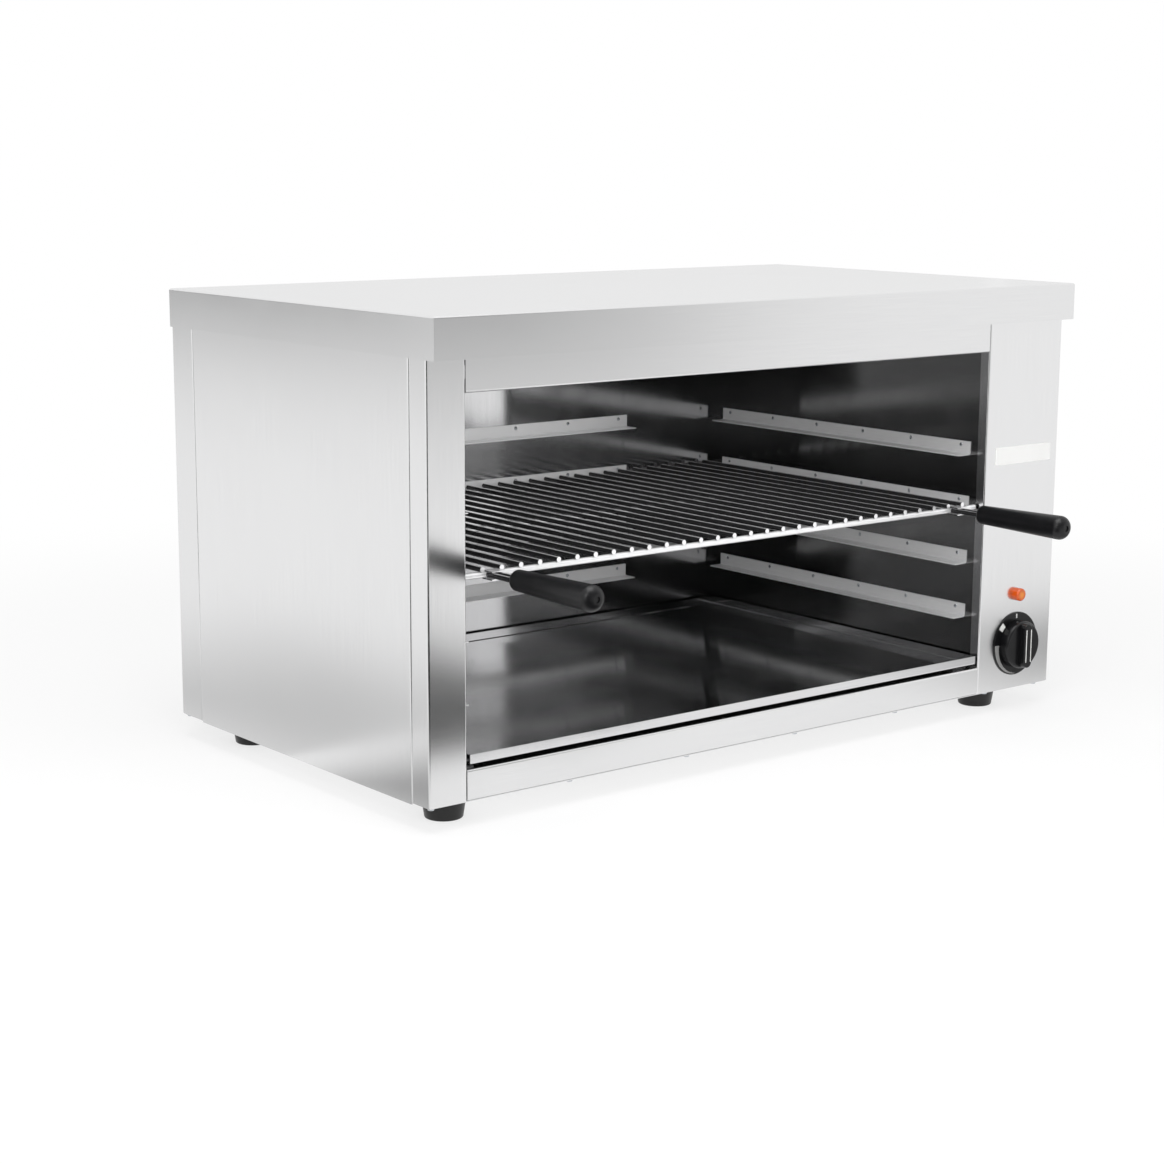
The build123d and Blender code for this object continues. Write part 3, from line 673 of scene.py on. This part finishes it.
@dataclass
class Shell:
    """Points and faces of a piece before it becomes a mesh."""

    points: np.ndarray
    faces: list[list[int]]

    @staticmethod
    def joined(shells: list["Shell"]) -> "Shell":
        """Puts several shells into one, each with its faces moved past the ones before.

        Args:
            shells: Shells in order.

        Returns:
            One shell.
        """
        starts = np.cumsum([0] + [len(shell.points) for shell in shells])
        faces = [
            [corner + int(start) for corner in face]
            for start, shell in zip(starts, shells)
            for face in shell.faces
        ]
        return Shell(np.concatenate([shell.points for shell in shells]), faces)

    @staticmethod
    def rings(points: np.ndarray) -> "Shell":
        """Closes a stack of rings into a skin with a flat cap on each end.

        Ring i, corner j is joined to ring i + 1 and corner j + 1, the last corner to the first.

        Args:
            points: Array of rings by corners by three.

        Returns:
            A closed shell.
        """
        count, sides = points.shape[:2]
        ring, side = np.meshgrid(np.arange(count - 1), np.arange(sides), indexing="ij")
        after = (side + 1) % sides
        quads = np.stack(
            [ring * sides + side, ring * sides + after, (ring + 1) * sides + after, (ring + 1) * sides + side],
            axis=-1,
        ).reshape(-1, 4)
        first = np.arange(sides)[::-1]
        last = np.arange(sides) + (count - 1) * sides
        return Shell(points.reshape(-1, 3), quads.tolist() + [first.tolist(), last.tolist()])

    @staticmethod
    def film(grid: np.ndarray, front: float, depth: float) -> "Shell":
        """Thin closed film that lies on an upright face.

        The grid gives X and Z; the film's front is at one Y and its back a depth behind it.

        Args:
            grid: Array of rows by columns by two.
            front: Y of the front, which faces towards minus Y.
            depth: Thickness of the film.

        Returns:
            A closed shell.
        """
        rows, columns = grid.shape[:2]
        flat = grid.reshape(-1, 2)
        fore = np.column_stack([flat[:, 0], np.full(len(flat), front), flat[:, 1]])
        back = fore + np.array([0.0, depth, 0.0])
        index = np.arange(rows * columns).reshape(rows, columns)
        quads = np.stack([index[:-1, :-1], index[:-1, 1:], index[1:, 1:], index[1:, :-1]], axis=-1).reshape(-1, 4)
        rim = np.concatenate([index[0, :-1], index[:-1, -1], index[-1, :0:-1], index[:0:-1, 0]])
        after = np.roll(rim, -1)
        total = rows * columns
        walls = np.stack([after, rim, rim + total, after + total], axis=-1)
        faces = np.concatenate([quads, quads[:, ::-1] + total, walls])
        return Shell(np.concatenate([fore, back]), faces.tolist())

    def piece(self, name: str, material: bpy.types.Material, body: Body) -> bpy.types.Object:
        """Makes the object, with outward normals, and lets it ride on a body.

        Args:
            name: Name of the piece.
            material: Its finish.
            body: Body that carries it.

        Returns:
            The new object.
        """
        mesh = bpy.data.meshes.new(name)
        mesh.from_pydata(self.points.tolist(), [], self.faces)
        mesh.validate()
        mesh.materials.append(material)
        mesh.shade_smooth()
        mesh.set_sharp_from_angle(angle=CRISP_ANGLE)
        piece = bpy.data.objects.new(name, mesh)
        bpy.context.scene.collection.objects.link(piece)
        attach(piece, body.value)
        log.info("made %s on %s", name, body.value)
        return piece


def lathe(profile: np.ndarray, sides: int, axis: Vector, centre: np.ndarray) -> Shell:
    """Turns a profile about an axis.

    Point = centre + height along the axis + radius times (cos a, sin a) across it.

    Args:
        profile: Rows of radius and height.
        sides: Number of corners round.
        axis: Unit direction of height.
        centre: Foot of the axis.

    Returns:
        A closed shell.
    """
    along = np.array(axis)
    across = np.array(axis.orthogonal().normalized())
    third = np.cross(along, across)
    angle = np.linspace(0.0, 2.0 * np.pi, sides, endpoint=False)
    round_ = np.cos(angle)[:, None] * across + np.sin(angle)[:, None] * third
    rings = centre + profile[:, 1, None, None] * along + profile[:, 0, None, None] * round_
    return Shell.rings(rings)


def rounded_outline(width: float, height: float, corner: float, steps: int) -> np.ndarray:
    """Outline of a rectangle with round corners, anticlockwise.

    Each corner is a quarter circle about its own centre, corner in from both sides.

    Args:
        width: Overall width.
        height: Overall height.
        corner: Corner radius.
        steps: Points on each quarter.

    Returns:
        Array of points by two.
    """
    quarter = np.linspace(0.0, np.pi / 2, steps)
    angle = (np.arange(4)[:, None] * np.pi / 2 + quarter).ravel()
    signs = np.array([(1, 1), (-1, 1), (-1, -1), (1, -1)]).repeat(steps, axis=0)
    middles = signs * np.array([width / 2 - corner, height / 2 - corner])
    return middles + corner * np.column_stack([np.cos(angle), np.sin(angle)])


def dress(finish: bpy.types.Material, *nodes: str) -> None:
    """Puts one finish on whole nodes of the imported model.

    Args:
        finish: Material to assign.
        *nodes: Names of the nodes.
    """
    for name in nodes:
        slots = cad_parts[name].data.materials
        slots.clear()
        slots.append(finish)
        log.info("dressed %s with %s", name, finish.name)


@dataclass
class Casing:
    """Folded outer sheets, feet and the screws that hold them."""

    plate_width_mm: float = 88.0
    plate_height_mm: float = 19.0
    plate_thickness_mm: float = 0.8
    plate_corner_mm: float = 1.5
    plate_edge_mm: float = 0.3
    plate_x_mm: float = 363.0
    plate_z_mm: float = 283.0
    plate_corner_steps: int = 6

    def dress(self) -> None:
        """Assigns the finishes of the casing's nodes."""
        level = GROUND_FRONT.build()
        upright = GROUND_SIDE.build()
        dress(level, "top_cover", "front_header", "bottom_rail", "base_pan", "back_panel")
        dress(upright, "front_left_post", "control_panel", "left_side_panel", "right_side_panel")
        dress(ZINC_PLATE.build(), "cover_screws", "base_screws", "foot_screws")
        dress(RUBBER.build(), "front_left_foot", "rear_left_foot", "front_right_foot", "rear_right_foot")

    def build(self) -> None:
        """Makes the bare white plate on the control panel.

        Its rings are the rounded outline at the panel, at the shoulder, and drawn in by the
        edge at the face.
        """
        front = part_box("control_panel")[0].y
        edge = self.plate_edge_mm
        levels = [(0.0, 0.0), (0.0, self.plate_thickness_mm - edge), (edge, self.plate_thickness_mm)]
        rings = []
        for inset, height in levels:
            outline = rounded_outline(
                self.plate_width_mm - 2 * inset,
                self.plate_height_mm - 2 * inset,
                self.plate_corner_mm - inset,
                self.plate_corner_steps,
            )
            depth = np.full(len(outline), front / MM - height)
            rings.append(
                np.column_stack([self.plate_x_mm + outline[:, 0], depth, self.plate_z_mm + outline[:, 1]]) * MM
            )
        Shell.rings(np.array(rings)).piece("bare_white_plate", PLATE_ENAMEL.build(), Body.CASING)


@dataclass
class Cavity:
    """Bright liner, crumb tray and the riveted rack rails."""

    rivet_radius_mm: float = 2.1
    rivet_height_mm: float = 0.9
    rivet_drop_mm: float = 4.2
    rivet_inset_mm: float = 13.0
    rivets_per_rail: int = 6
    rivet_sides: int = 14
    rivet_rings: int = 5
    rivet_flat_angle: float = 0.12
    leg_mm: float = 1.0
    levels: int = 4

    def dress(self) -> None:
        """Assigns the finishes of the cavity's nodes."""
        dress(MIRROR_LINER.build(), "liner_back_wall", "liner_ceiling")
        # The side walls take the liner darkened as painted shade.
        dress(HEATED_LINER.build(), "liner_left_wall", "liner_right_wall")
        dress(MIRROR_TRAY.build(), "crumb_tray")
        angle = PICKLED_ANGLE.build()
        for level in range(1, self.levels + 1):
            dress(angle, *(f"{side}_rack_rail_{level}" for side in ("left", "right", "back")))
        dress(angle, "left_tray_runner", "right_tray_runner", "element_straps")

    def build(self) -> None:
        """Makes the flat-domed rivet heads of the rails.

        A head is a lathe profile whose height falls as the cosine of its radius; rivets stand
        at even steps along each leg.
        """
        turn = np.linspace(np.pi / 2, self.rivet_flat_angle, self.rivet_rings)
        profile = np.column_stack([self.rivet_radius_mm * np.sin(turn), self.rivet_height_mm * np.cos(turn)]) * MM
        heads = []
        for level in range(1, self.levels + 1):
            for side, axis in (
                ("left", Vector((1, 0, 0))),
                ("right", Vector((-1, 0, 0))),
                ("back", Vector((0, -1, 0))),
            ):
                low, high = (np.array(corner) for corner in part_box(f"{side}_rack_rail_{level}"))
                run = 0 if side == "back" else 1
                start = low[run] + self.rivet_inset_mm * MM
                stop = high[run] - self.rivet_inset_mm * MM
                wall = {"left": low[0], "right": high[0], "back": high[1]}[side]
                for along in np.linspace(start, stop, self.rivets_per_rail):
                    foot = np.zeros(3)
                    foot[run] = along
                    foot[1 - run] = wall
                    foot[2] = high[2] - self.rivet_drop_mm * MM
                    heads.append(lathe(profile, self.rivet_sides, axis, foot + np.array(axis) * self.leg_mm * MM))
        rivets = Shell.joined(heads).piece("rail_rivets", ZINC_PLATE.build(), Body.CASING)


@dataclass
class Rack:
    """Welded wire rack with its two clipped handles."""

    def dress(self) -> None:
        """Assigns the finishes of the rack's nodes."""
        dress(
            CHROMED_WIRE.build(),
            "rack_grid",
            "left_handle_wires",
            "right_handle_wires",
            "left_handle_clip",
            "right_handle_clip",
        )
        dress(GRIP_PHENOLIC.build(), "left_handle_grip", "right_handle_grip")


@dataclass
class Heater:
    """Heating elements with their insulators and wiring."""

    def dress(self) -> None:
        """Assigns the finishes of the heater's nodes."""
        dress(OXIDISED_SHEATH.build(), "front_heating_element", "middle_heating_element", "rear_heating_element")
        dress(CERAMIC.build(), "element_insulators", "terminal_block")
        dress(ZINC_PLATE.build(), "element_pins", "regulator_spindle")
        dress(SILICONE.build(), "internal_wires")
        dress(NYLON.build(), "regulator_body", "cable_gland", "gland_lock_nut", "pilot_lamp_body", "pilot_lamp_nut")


@dataclass
class Controls:
    """Knob, dial with its plain marks, and the pilot lamp."""

    ink_mm: float = 0.12
    dial_tick_width_mm: float = 1.8
    dial_tick_in_mm: float = 28.5
    dial_tick_out_mm: float = 33.0
    square_in_mm: float = 27.0
    square_out_mm: float = 33.4
    square_start_deg: float = 304.0
    square_stop_deg: float = 319.0
    band_out_mm: float = 33.6
    band_thick_mm: float = 6.8
    band_thin_mm: float = 0.6
    band_start_deg: float = 180.0
    band_stop_deg: float = 272.0
    bar_line_width_mm: float = 1.1
    bar_line_length_mm: float = 36.0
    bar_line_apart_mm: float = 7.4
    square_steps: int = 8
    band_steps: int = 40

    def dress(self) -> None:
        """Assigns the finishes of the control nodes."""
        dress(PHENOLIC.build(), "control_knob", "dial_plate")
        low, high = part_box("pilot_lamp_lens")
        dress(AMBER.build((low + high) / 2), "pilot_lamp_lens")

    def sector(self, inner: np.ndarray, outer: np.ndarray, angles: np.ndarray, centre: np.ndarray) -> np.ndarray:
        """Grid of a ring sector, seen from the front, with angles clockwise from the top.

        X = centre + r sin a and Z = centre + r cos a, for r at the inner and the outer line.

        Args:
            inner: Inner radius at each angle.
            outer: Outer radius at each angle.
            angles: Angles in radians.
            centre: X and Z of the dial's middle.

        Returns:
            Array of two rows by angles by two.
        """
        radius = np.stack([outer, inner])
        return centre + np.stack([radius * np.sin(angles), radius * np.cos(angles)], axis=-1)

    def bar(self, inner: float, outer: float, angle: float, width: float, centre: np.ndarray) -> np.ndarray:
        """Grid of a straight mark that points at the dial's middle.

        Corner = centre + r along the angle plus or minus half the width across it.

        Args:
            inner: Near end's radius.
            outer: Far end's radius.
            angle: Angle in radians, clockwise from the top.
            width: Width of the mark.
            centre: X and Z of the dial's middle.

        Returns:
            Array of two by two by two.
        """
        along = np.array([math.sin(angle), math.cos(angle)])
        across = np.array([along[1], -along[0]]) * width / 2
        return centre + np.array(
            [[outer * along - across, outer * along + across], [inner * along - across, inner * along + across]]
        )

    def build(self) -> None:
        """Prints the dial's marks and the knob's lines as thin films on their faces."""
        low, high = (np.array(corner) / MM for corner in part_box("dial_plate"))
        centre = np.array([(low[0] + high[0]) / 2, (low[2] + high[2]) / 2])
        face = low[1] - self.ink_mm
        square = np.radians(np.linspace(self.square_start_deg, self.square_stop_deg, self.square_steps))
        sweep = np.radians(np.linspace(self.band_start_deg, self.band_stop_deg, self.band_steps))
        thick = np.linspace(self.band_thin_mm, self.band_thick_mm, self.band_steps)
        tick = self.bar(self.dial_tick_in_mm, self.dial_tick_out_mm, 0.0, self.dial_tick_width_mm, centre)
        block = self.sector(
            np.full(self.square_steps, self.square_in_mm),
            np.full(self.square_steps, self.square_out_mm),
            square,
            centre,
        )
        band = self.sector(self.band_out_mm - thick, np.full(self.band_steps, self.band_out_mm), sweep, centre)
        white = [Shell.film(grid * MM, face * MM, self.ink_mm * MM) for grid in (tick, block)]
        ink = WHITE_INK.build()
        Shell.joined(white).piece("dial_marks", ink, Body.CASING)
        Shell.film(band * MM, face * MM, self.ink_mm * MM).piece("dial_heat_band", GREY_INK.build(), Body.CASING)
        knob_low = np.array(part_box("control_knob")[0]) / MM
        top = knob_low[1] - self.ink_mm
        half = self.bar_line_length_mm / 2
        lines = []
        for side in (-1.0, 1.0):
            shifted = centre + np.array([side * self.bar_line_apart_mm / 2, 0.0])
            line = self.bar(-half, half, 0.0, self.bar_line_width_mm, shifted)
            lines.append(Shell.film(line * MM, top * MM, self.ink_mm * MM))
        Shell.joined(lines).piece("knob_lines", ink, Body.KNOB)


@dataclass
class Flag:
    """Card that only reflections see, which shades the bright steel."""

    name: str
    centre: tuple[float, float, float]
    toward: tuple[float, float, float]
    width: float
    height: float
    tone: str
    soft: float

    def finish(self) -> bpy.types.Material:
        """Makes the card's tone, which fades to white over a share of its half size.

        The larger of the two distances from the card's middle, each as a share of its half
        size, sets the fade.

        Returns:
            A plain glowing material.
        """
        material, tree, output = new_material(self.name)
        spot = add_node(tree, "ShaderNodeTexCoord").outputs["UV"]
        centred = add_node(
            tree, "ShaderNodeVectorMath", {1: (0.5, 0.5, 0.0)}, {0: spot}, operation="SUBTRACT"
        ).outputs["Vector"]
        apart = add_node(tree, "ShaderNodeVectorMath", None, {0: centred}, operation="ABSOLUTE").outputs["Vector"]
        sides = add_node(tree, "ShaderNodeSeparateXYZ", None, {"Vector": apart}).outputs
        far = add_node(tree, "ShaderNodeMath", None, {0: sides["X"], 1: sides["Y"]}, operation="MAXIMUM")
        fade = add_node(
            tree,
            "ShaderNodeMapRange",
            {"From Min": 0.5 * (1.0 - self.soft), "From Max": 0.5},
            {"Value": far.outputs["Value"]},
            interpolation_type="SMOOTHSTEP",
        )
        colour = add_node(
            tree,
            "ShaderNodeMix",
            {6: linear(self.tone), 7: linear("#ffffff")},
            {"Factor": fade.outputs["Result"]},
            data_type="RGBA",
        )
        glow = add_node(tree, "ShaderNodeEmission", {"Strength": 1.0}, {"Color": colour.outputs[2]})
        tree.links.new(glow.outputs["Emission"], output.inputs["Surface"])
        return material

    def build(self) -> None:
        """Stands the card up square to the line from its centre to the point it faces."""
        facing = (Vector(self.toward) - Vector(self.centre)).normalized()
        turn = facing.to_track_quat("Z", "Y").to_matrix()
        corners = np.array([(-1, -1, 0), (1, -1, 0), (1, 1, 0), (-1, 1, 0)]) * (self.width / 2, self.height / 2, 0)
        points = corners @ np.array(turn).T + np.array(self.centre)
        mesh = bpy.data.meshes.new(self.name)
        mesh.from_pydata(points.tolist(), [], [[0, 1, 2, 3]])
        mesh.uv_layers.new(name="card").data.foreach_set("uv", [0, 0, 1, 0, 1, 1, 0, 1])
        mesh.materials.append(self.finish())
        card = bpy.data.objects.new(self.name, mesh)
        bpy.context.scene.collection.objects.link(card)
        card.visible_camera = False
        card.visible_diffuse = False
        card.visible_shadow = False
        card.visible_transmission = False


@dataclass
class Studio:
    """Pale floor, white surround, soft lamps, shading cards and the camera."""

    focal_pixels: float = 2315.1
    yaw_deg: float = 38.571
    pitch_deg: float = 10.819
    roll_deg: float = 0.281
    distance: float = 2.4765
    slide: float = -0.0516
    lift: float = 0.1493
    middle_y: float = 0.061
    floor_half: float = 9.0
    fill_strength: float = 0.45
    shadow_share: float = 0.3
    shadow_start: float = 0.5
    shadow_reach: float = 1.6

    def camera(self) -> None:
        """Places the camera at the photographed angle, from the fitted turn, tilt and distance."""
        yaw, pitch, roll = (math.radians(v) for v in (self.yaw_deg, self.pitch_deg, self.roll_deg))
        ahead = Vector((math.sin(yaw) * math.cos(pitch), math.cos(yaw) * math.cos(pitch), -math.sin(pitch)))
        level = Vector((math.cos(yaw), -math.sin(yaw), 0.0))
        upright = level.cross(ahead)
        right = math.cos(roll) * level + math.sin(roll) * upright
        up = math.cos(roll) * upright - math.sin(roll) * level
        place = -ahead * self.distance + level * self.slide + Vector((0.0, self.middle_y, self.lift))
        data = bpy.data.cameras.new("photo_camera")
        data.sensor_width = SENSOR_MM
        data.lens = self.focal_pixels * SENSOR_MM / PHOTO_PIXELS
        camera = bpy.data.objects.new("photo_camera", data)
        bpy.context.scene.collection.objects.link(camera)
        turn = Matrix((right, up, -ahead)).transposed()
        camera.matrix_world = Matrix.Translation(place) @ turn.to_4x4()
        bpy.context.scene.camera = camera

    def seen_directly(self, tree: bpy.types.NodeTree) -> bpy.types.NodeSocket:
        """Tells rays of the camera, of gloss and of clear material from the rest.

        Args:
            tree: Node tree of the floor or the world.

        Returns:
            A socket that is 1 for those rays and 0 for others.
        """
        path = add_node(tree, "ShaderNodeLightPath").outputs
        first = add_node(
            tree, "ShaderNodeMath", None, {0: path["Is Camera Ray"], 1: path["Is Glossy Ray"]}, operation="MAXIMUM"
        )
        both = add_node(
            tree,
            "ShaderNodeMath",
            None,
            {0: first.outputs["Value"], 1: path["Is Transmission Ray"]},
            operation="MAXIMUM",
        )
        return both.outputs["Value"]

    def surround(self) -> None:
        """Makes the world: white where it is seen, a soft grey fill for everything else."""
        world = bpy.data.worlds.new("white_surround")
        world.use_nodes = True
        tree = world.node_tree
        tree.nodes.clear()
        fill = add_node(tree, "ShaderNodeBackground", {"Color": linear("#ffffff"), "Strength": self.fill_strength})
        white = add_node(tree, "ShaderNodeBackground", {"Color": linear("#ffffff"), "Strength": 1.0})
        mix = add_node(
            tree,
            "ShaderNodeMixShader",
            None,
            {0: self.seen_directly(tree), 1: fill.outputs["Background"], 2: white.outputs["Background"]},
        )
        add_node(tree, "ShaderNodeOutputWorld", None, {"Surface": mix.outputs["Shader"]})
        bpy.context.scene.world = world

    def floor(self) -> None:
        """Lays a white floor that keeps a soft share of the shadow close to the object."""
        material, tree, output = new_material("matt_white_floor")
        place = add_node(tree, "ShaderNodeTexCoord").outputs["Object"]
        reach = add_node(tree, "ShaderNodeVectorMath", None, {0: place}, operation="LENGTH")
        share = add_node(
            tree,
            "ShaderNodeMapRange",
            {
                "From Min": self.shadow_start,
                "From Max": self.shadow_reach,
                "To Min": self.shadow_share,
                "To Max": 0.0,
            },
            {"Value": reach.outputs["Value"]},
            interpolation_type="SMOOTHSTEP",
        )
        matt = add_node(tree, "ShaderNodeBsdfDiffuse", {"Color": linear("#f4f4f4")})
        white = add_node(tree, "ShaderNodeEmission", {"Color": linear("#ffffff"), "Strength": 1.0})
        near = add_node(
            tree,
            "ShaderNodeMixShader",
            None,
            {0: share.outputs["Result"], 1: white.outputs["Emission"], 2: matt.outputs["BSDF"]},
        )
        mix = add_node(
            tree,
            "ShaderNodeMixShader",
            None,
            {0: self.seen_directly(tree), 1: matt.outputs["BSDF"], 2: near.outputs["Shader"]},
        )
        tree.links.new(mix.outputs["Shader"], output.inputs["Surface"])
        half = self.floor_half
        mesh = bpy.data.meshes.new("studio_floor")
        corners = [(-half, -half, 0), (half, -half, 0), (half, half, 0), (-half, half, 0)]
        mesh.from_pydata(corners, [], [[0, 1, 2, 3]])
        mesh.materials.append(material)
        floor = bpy.data.objects.new("studio_floor", mesh)
        bpy.context.scene.collection.objects.link(floor)

    def lamp(
        self,
        name: str,
        place: Vector,
        target: Vector,
        size: float,
        watts: float,
        mirrored: bool = True,
    ) -> None:
        """Hangs one square soft lamp.

        Args:
            name: Name of the lamp.
            place: Where it hangs.
            target: Point that it faces.
            size: Side of its face.
            watts: Power.
            mirrored: Whether polished metal shows the lamp's face.
        """
        data = bpy.data.lights.new(name, "AREA")
        data.size = size
        data.energy = watts
        lamp = bpy.data.objects.new(name, data)
        bpy.context.scene.collection.objects.link(lamp)
        lamp.location = place
        lamp.visible_camera = False
        lamp.visible_glossy = mirrored
        lamp.rotation_mode = "QUATERNION"
        lamp.rotation_quaternion = (target - place).to_track_quat("-Z", "Y")

    def lamps(self) -> None:
        """Hangs the overhead lamp, a weaker one from the left front and two that light the cavity."""
        middle = Vector((0.0, 0.05, 0.2))
        self.lamp("overhead_softbox", Vector((-0.3, -0.5, 2.4)), middle, 1.8, 34.0)
        self.lamp("left_softbox", Vector((-2.0, -1.4, 1.3)), middle, 1.2, 16.0)
        self.lamp("cavity_lamp", Vector((-0.9, -1.5, 0.5)), Vector((0.2, 0.1, 0.25)), 0.5, 10.0, mirrored=False)
        self.lamp("rack_lamp", Vector((-0.05, 0.04, 0.375)), Vector((-0.05, 0.05, 0.2)), 0.4, 0.6, mirrored=False)

    def flags(self) -> None:
        """Stands the cards that darken the cavity and shade the satin sheets."""
        cards = [
            Flag("cavity_flag", (-1.3, -1.4, 0.75), (-1.3, 0.0, 0.75), 1.7, 1.5, "#050505", 0.02),
            Flag("front_left_shade", (0.1, -1.5, 0.7), (0.1, 0.0, 0.7), 2.6, 1.4, "#848484", 0.8),
            Flag("cavity_floor_flag", (-0.75, -0.9, 0.003), (-0.75, -0.9, 1.0), 1.6, 1.1, "#050505", 0.1),
            Flag("front_floor_shade", (0.75, -0.36, 0.002), (0.75, -0.36, 1.0), 1.0, 0.44, "#a4a4a4", 0.9),
            Flag("top_shade", (2.0, 2.6, 1.0), (0.0, 0.0, 0.4), 5.0, 2.5, "#f3f3f3", 0.3),
            Flag("side_far_shade", (-2.4, 3.8, 0.5), (0.0, 3.8, 0.5), 4.4, 1.3, "#727272", 0.9),
            Flag("right_far_shade", (2.8, 4.2, 0.4), (0.0, 4.2, 0.4), 4.4, 1.1, "#727272", 0.9),
            Flag("side_floor_shade", (-0.6, 0.2, 0.002), (-0.6, 0.2, 1.0), 0.6, 1.6, "#d0d0d0", 0.9),
            Flag("corner_floor_shade", (-0.52, -0.06, 0.0025), (-0.52, -0.06, 1.0), 0.3, 0.4, "#a4a4a4", 0.9),
        ]
        for card in cards:
            card.build()

    def build(self) -> None:
        """Sets up the view, light and camera."""
        bpy.context.scene.view_settings.view_transform = "Standard"
        self.surround()
        self.floor()
        self.lamps()
        self.flags()
        self.camera()


def main() -> None:
    """Builds and dresses each sub-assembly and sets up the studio."""
    logging.basicConfig(level=logging.INFO)
    for assembly in (Casing(), Cavity(), Controls()):
        assembly.dress()
        assembly.build()
    for assembly in (Rack(), Heater()):
        assembly.dress()
    Studio().build()


if __name__ == "__main__":
    main()
